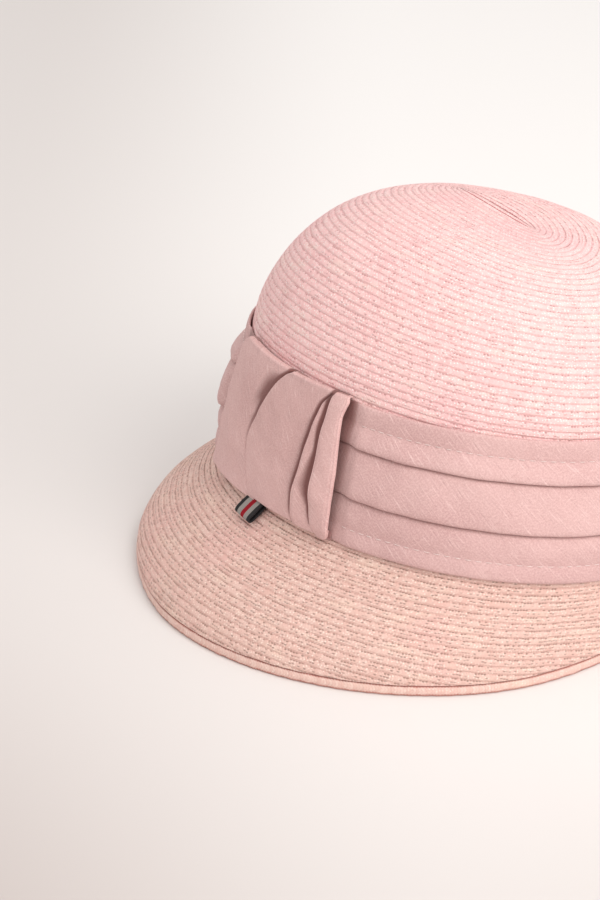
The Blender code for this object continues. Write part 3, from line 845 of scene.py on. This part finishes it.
def buildWrap():
    finish = linenFinish("wrapLinen", wrapLinenLook)
    panels = {panel["name"]: panel for panel in sideWrap["panels"]}
    bottom, top, fullness = sideWrap["bottom"], sideWrap["top"], sideWrap["fullness"]
    level = sideWrap["neighbourOff"]
    rise = np.linspace(0, 1, sideWrap["rows"])
    rise = rise - 0.06 * np.sin(rise * math.tau) / math.tau
    swell = onLine(sideWrap["swell"], rise)
    mmPerRadian = bandTiers["mmPerRadian"]
    pieces = []
    for panel in sideWrap["panels"]:
        nextPanel = panels.get(panel["right"])
        heights = bottom + (top - bottom) * rise + panel["hemRise"] * np.clip(1 - rise / 0.12, 0, 1)
        left = np.radians(onLine(panel["left"], heights))
        right = np.radians(onLine(nextPanel["left"] if nextPanel else sideWrap["backEdge"], heights))
        # rounded corners pull the fold in at the top and the bottom
        corner = panel["corner"]
        fromTop = np.clip(corner - (top - heights), 0, corner)
        fromLow = np.clip(corner - (heights - bottom), 0, corner)
        pull = (corner - np.sqrt(corner ** 2 - fromTop ** 2)) + (corner - np.sqrt(corner ** 2 - fromLow ** 2))
        pull = pull * 0.8 / mmPerRadian
        left = left + pull
        over = onLine(panel["step"], heights)
        leftOff = level + (panel["leftOff"] - level) * over
        # across the panel: share of its width, millimetres past that line, and how far out from the face
        columns = [(0, past, out * panel["roll"]) for past, out in sideWrap["fold"]]
        if nextPanel:
            columns += [(share, 0, 0.0) for share in np.linspace(0.08, 0.70, 12)]
            columns += [(1, past, out) for past, out in sideWrap["underNext"]]
            nextOver = onLine(nextPanel["step"], heights)
            nextStep = np.maximum(0, level + (nextPanel["leftOff"] - level) * nextOver - panel["rightOff"])
            narrow = np.clip((right - left) * mmPerRadian / 13, 0.15, 1)
        else:
            right = right - pull
            columns += [(share, 0, 0.0) for share in np.linspace(0.08, 0.90, 14)]
            columns += [(1, past, out * panel["roll"]) for past, out in sideWrap["backHem"]]
            narrow = 1
        points, places, paintedShade = [], [], []
        for share, past, under in columns:
            if share == 0:
                turn = left + past / mmPerRadian
                under = under * np.clip(over, 0.3, 1.3)
            elif share == 1:
                turn = right + past / mmPerRadian * (narrow if past < 0 else 1)
                under = under * (nextOver if nextPanel else 1)
            else:
                turn = left + (right - left) * share
            part = np.clip((turn - left) / np.maximum(right - left, 1e-6), 0, 1)
            standing = leftOff + (panel["rightOff"] - leftOff) * part
            hem = panel["hem"] + (0.45 - panel["hem"]) * part * 0.4
            lift = swell + (1 - swell) * hem * np.clip(1 - rise / 0.26, 0, 1)
            out = sideWrap["base"] + fullness * standing * lift
            out = out + np.sin(part * math.pi) * 0.35 * lift + under
            for crease in sideWrap["creases"]:
                gap = (turn - np.radians(onLine(crease["line"], heights))) * mmPerRadian
                out = out - crease["depth"] * np.exp(-(gap / crease["width"]) ** 2) * (np.max(under) > -0.1)
            # soft unevenness, most of it at half height
            bare = offWall(turn, heights * 0.001, 0.005)
            soft = roughness(bare, 75.0, 21.0) * 0.55 + roughness(bare, 190.0, 9.0) * 0.16
            soft = soft + np.sin(heights * 0.35 + np.degrees(turn) * 0.9) * 0.10
            out = out + soft * (0.35 + 0.65 * np.sin(rise * math.pi))
            out = np.maximum(out, sideWrap["base"] - 0.6)
            lower, inward = np.array(sideWrap["hemBehind"]).T
            behind = offWall(turn[0], (heights[0] + lower) * 0.001, np.maximum(out[0] - inward, 1.6) * 0.001)
            upper, inward = np.array(sideWrap["lip"]).T
            lip = offWall(turn[-1], (heights[-1] + upper) * 0.001, np.maximum(out[-1] - inward, 0.7) * 0.001)
            column = np.concatenate((behind, offWall(turn, heights * 0.001, out * 0.001), lip))
            points.append(column)
            places.append(lengthsAlong(column) * 1000)
            shade = 0 * turn
            if nextPanel:
                # painted shade: the next fold's shade is painted on this panel for a few heights of its step
                fade = 0.75 + 7.0 * np.clip(nextOver - 1, 0, 1)
                gap = (right - turn) * mmPerRadian - nextStep * fullness * swell * panel["shade"]
                shade = np.clip(1 - gap / fade, 0, 1) * np.clip(nextOver * 1.6 - 0.5, 0, 1)
            # the roll under a left fold gets painted shade too
            if share == 0 and np.max(under) < -0.5:
                shade = np.maximum(shade, 0.7)
            paintedShade.append(np.pad(shade, (len(behind), len(lip)), mode="edge"))
        points, v = np.stack(points), np.stack(places)
        across = lengthsAlong(points[:, 20]) * 1000  # measured at about a third of the height
        u = across[:, None] + 0 * v
        piece = newPiece("wrap_" + panel["name"], points, gridFaces(*points.shape[:2]),
                         np.stack((u, v), axis=-1), finish, marks={"paintedShade": np.stack(paintedShade)},
                         outwardFrom=headCentre)
        thicken(piece, sideWrap["cloth"])
        subdivide = piece.modifiers.new("soften", "SUBSURF")
        subdivide.levels = subdivide.render_levels = 1
        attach(piece, "root")
        pieces.append(piece)
    return pieces


# Running stitches of pale thread along the band's two hems; lengths in mm
hemStitches = {
    "length": 2.3,
    "gap": 1.5,
    "gapSpread": 0.5,
    "radius": 0.17,
    # height, and share of the band's fullness there
    "rows": [(46.5, 0.41), (7.1, 0.51)],
    "rings": 6,
    "spokes": 6,
    "colour": (0.97, 0.80, 0.76),
    "roughness": 0.7,
    "specular": 0.5,
    "relief": 0.00006,
}


def threadFinish():
    material, tree, shader = newMaterial("paleThread", hemStitches)
    u, v = alongAndAcross(tree)
    twist = (u * 9.0 + v * math.tau).math("SINE")
    shade = tuple(part * 0.78 for part in hemStitches["colour"])
    colour = blend(twist.step(-1.0, 1.0), shade, hemStitches["colour"])
    finishWith(shader, colour, twist, hemStitches["relief"])
    return material


def buildStitches():
    points, faces, places = [], [], []
    stitch = hemStitches["length"]
    along = np.linspace(0, 1, hemStitches["rings"])
    spokes = np.arange(hemStitches["spokes"]) / hemStitches["spokes"]
    angles = spokes[None, :, None] * math.tau
    around = np.linspace(0, math.tau, 721)
    bow = np.sin(along * math.pi)[:, None]
    radius = hemStitches["radius"] * 0.001 * (0.35 + 0.65 * bow ** 0.4)
    for height, share in hemStitches["rows"]:
        reached = lengthsAlong(bandSurface(around, height * 0.001, share)) * 1000
        at = 0.0
        while at < reached[-1] - stitch:
            if outsideWrap(np.interp(at, reached, around))[1] >= 0.02:
                turn = np.interp(at + stitch * along, reached, around)
                centre = bandSurface(turn, height * 0.001, share)
                ahead = unit(bandSurface(turn + 0.004, height * 0.001, share) - centre)
                out = unit(np.cross(ahead, upAxis))
                out = out * np.sign(np.sum(out * (centre - headCentre), axis=-1, keepdims=True))
                side = np.cross(out, ahead)
                centre = centre + out * (0.24 + 0.20 * bow) * 0.001
                ring = out[:, None] * np.cos(angles) + side[:, None] * np.sin(angles)
                firstPoint = len(points) * len(along) * len(spokes)
                faces.append(gridFaces(len(along), len(spokes), around=True) + firstPoint)
                points.append((centre[:, None] + ring * radius[..., None]).reshape(-1, 3))
                v, u = np.meshgrid(spokes, along * stitch)
                places.append(np.stack((u, v), axis=-1).reshape(-1, 2))
            spread = hemStitches["gapSpread"] * noise.noise(Vector((at * 0.7, height, 0)))
            at += stitch + hemStitches["gap"] + spread
    piece = newPiece("hem_stitches", np.concatenate(points), np.concatenate(faces), np.concatenate(places),
                     threadFinish(), weld=False)
    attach(piece, "root")
    return piece


# Folded ribbon loop that hangs from under the wrap: symmetrical woven stripes, nothing else on it
tagLoop = {
    "turn": math.radians(3.4),
    "width": 0.0115,
    "length": 0.0084,
    "thickness": 0.0026,
    "ribbon": 0.0006,
    "start": 0.0018,
    "tuckedIn": 0.0022,
    "bend": 0.0022,
    "curl": 0.00018,
    "charcoal": (0.035, 0.033, 0.034),
    "grey": (0.42, 0.385, 0.355),
    "red": (0.40, 0.008, 0.020),
    "betweenRibs": (0.02, 0.018, 0.018),
    "ribs": 2.3,
    "roughness": 0.8,
    "specular": 0.15,
    "relief": 0.00018,
}


def tagFinish():
    material, tree, shader = newMaterial("stripedRibbon", tagLoop)
    u, v = alongAndAcross(tree)
    fromMiddle = u.awayFrom(0.5) + (grain(place(u, v), 9.0) - 0.5) * 0.012
    colour = blend(fromMiddle.step(0.330, 0.350), tagLoop["grey"], tagLoop["charcoal"])
    colour = blend(fromMiddle.step(0.100, 0.115, 1.0, 0.0), colour, tagLoop["red"])
    rib = (v * (math.tau * tagLoop["ribs"])).math("SINE")
    # the dark between the ribs is painted shade
    colour = blend(rib.step(-1.0, 1.0, 0.35, 0.0), colour, tagLoop["betweenRibs"])
    finishWith(shader, colour, rib * 0.5 + grain(place(u * 60.0, v)) * 0.5, tagLoop["relief"])
    return material


def buildTag():
    turn = tagLoop["turn"]
    along = unit(bellPoint(turn, 0.30) - bellPoint(turn, 0.08))
    ahead = bellPoint(turn + 0.02, 0.2) - bellPoint(turn - 0.02, 0.2)
    across = unit(ahead - along * np.dot(ahead, along))
    out = np.cross(across, along)
    if out[2] < 0:
        out = -out
    offBrim = hatShape["seamGap"] * 2 + tagLoop["thickness"] / 2
    foot = bellPoint(turn, 0.0) + along * tagLoop["start"] + out * offBrim
    # the ribbon's middle line: in under the wrap, down, round the fold and back
    half = tagLoop["thickness"] / 2 - tagLoop["ribbon"] / 2
    straight = tagLoop["length"] - tagLoop["bend"] - tagLoop["ribbon"] / 2
    part = np.linspace(0, 1, 13)
    at = -tagLoop["tuckedIn"] + (straight + tagLoop["tuckedIn"]) * part
    opening = np.minimum(1, part * 1.6)
    angle = math.pi / 2 - math.pi * np.arange(1, 12) / 12
    line = np.concatenate((
        np.stack((at, half * (0.45 + 0.55 * opening ** 0.7)), axis=-1),
        np.stack((straight + tagLoop["bend"] * np.cos(angle), half * np.sin(angle)), axis=-1),
        np.stack((at, -half * (0.75 + 0.25 * opening)), axis=-1)[::-1],
    ))
    shares = np.linspace(0, 1, 25)
    curl = (np.abs(shares - 0.5) * 2) ** 3 * tagLoop["curl"]
    points = (foot + along * line[:, :1][:, None] + out * (line[:, 1:][:, None] + curl[None, :, None])
              + across * ((shares - 0.5) * tagLoop["width"])[None, :, None])
    length = lengthsAlong(line) * 1000
    piece = newPiece("ribbon_tag", points, gridFaces(*points.shape[:2]),
                     np.stack(np.meshgrid(shares, length), axis=-1), tagFinish())
    thicken(piece, tagLoop["ribbon"])
    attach(piece, "root")
    return piece


# Table, backdrop, light and camera
room = {
    "roughness": 0.9,
    "specular": 0.1,
    "floor": (0.86, 0.845, 0.830),
    "floorShade": (0.52, 0.470, 0.450),
    # painted shade: the paper is darkened on two sides: direction, start and end in metres, and how much
    "paintedFloorShade": [((0.90, -0.43), -0.02, 0.22, 0.52), ((0.43, 0.90), -0.02, 0.34, 0.66)],
    "worldColour": (1.0, 0.97, 0.955),
    "worldStrength": 0.70,
    # the room is brighter on the side of the window: direction and how much more
    "brighterSide": (-0.34, 0.84, 0.42),
    "brighterBy": 0.34,
    "eye": (0.4508, 0.8290, 0.4990),
    "aim": (0.0427, -0.0224, 0.0421),
    "lens": 105.06,
    "lightsAim": (0, 0, 0.06),
    # place in metres, width of the light, watts and colour
    "lights": [
        {"name": "windowLight", "at": (-0.22, 1.20, 1.05), "size": 1.0, "watts": 13.5,
         "colour": (1.0, 0.975, 0.95)},
        {"name": "skyLight", "at": (0.2, -0.4, 1.9), "size": 2.0, "watts": 4, "colour": (1.0, 0.985, 0.975)},
        {"name": "fillLight", "at": (1.2, 0.9, 0.6), "size": 1.4, "watts": 1.2, "colour": (1.0, 0.955, 0.94)},
    ],
}


def putInRoom(data, at, aim):
    # a light or camera at one place, turned to another
    thing = inScene(data.name, data)
    thing.location = at
    thing.rotation_euler = (Vector(aim) - thing.location).to_track_quat("-Z", "Y").to_euler()
    return thing


def buildRoom():
    material, tree, shader = newMaterial("paleTable", room)
    x = addNode(tree, "SeparateXYZ", {}, {0: onObject(tree)})
    y = x.besides(1)
    # painted shade darkens the floor's colour on two sides
    shades = [(x * toX + y * toY).step(low, high, 0.0, amount)
              for (toX, toY), low, high, amount in room["paintedFloorShade"]]
    blend(shades[0] + shades[1], room["floor"], room["floorShade"]).into(shader.inputs["Base Color"])
    grid = np.linspace(-3.5, 3.5, 15)
    points = np.stack((*np.meshgrid(grid, grid), np.zeros((15, 15))), axis=-1)
    floor = newPiece("table_top", points, gridFaces(15, 15), points[..., :2], material, weld=False)
    if floor.data.polygons[0].normal.z < 0:
        floor.data.flip_normals()
    world = bpy.data.worlds.new("paleRoom")
    world.use_nodes = True
    background = world.node_tree.nodes["Background"]
    background.inputs["Color"].default_value = (*room["worldColour"], 1)
    compass = addNode(world.node_tree, "TexCoord", {}, {}, "Generated")
    facing = addNode(world.node_tree, "VectorMath", {"operation": "DOT_PRODUCT"},
                     {0: compass, 1: room["brighterSide"]}, "Value")
    strength = room["worldStrength"]
    facing.step(-0.6, 1.0, strength, strength + room["brighterBy"]).into(background.inputs["Strength"])
    bpy.context.scene.world = world
    for spot in room["lights"]:
        data = bpy.data.lights.new(spot["name"], "AREA")
        data.shape = "DISK"
        data.size = spot["size"]
        data.energy = spot["watts"]
        data.color = spot["colour"]
        putInRoom(data, spot["at"], room["lightsAim"])
    data = bpy.data.cameras.new("viewCamera")
    data.lens = room["lens"]
    data.sensor_width = 36
    bpy.context.scene.camera = putInRoom(data, room["eye"], room["aim"])
    bpy.context.scene.view_settings.view_transform = "Standard"
    bpy.context.scene.view_settings.look = "None"


crown = buildCrown()
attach(crown, "root")
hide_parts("crown")
print("crown braided", len(crown.data.polygons))

brim = buildBrim()
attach(brim, "root")
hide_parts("brim")
print("brim braided", len(brim.data.polygons))

rim = buildRimRow()
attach(rim, "root")
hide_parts("rim_braid")
print("rim row laid")

tiers = buildBand()
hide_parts("band")
print("band folded")

panels = buildWrap()
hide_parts("side_wrap")
print("wrap pleated")

buildStitches()
print("hems stitched")

tag = buildTag()
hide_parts("side_tag")
print("tag folded")

buildRoom()
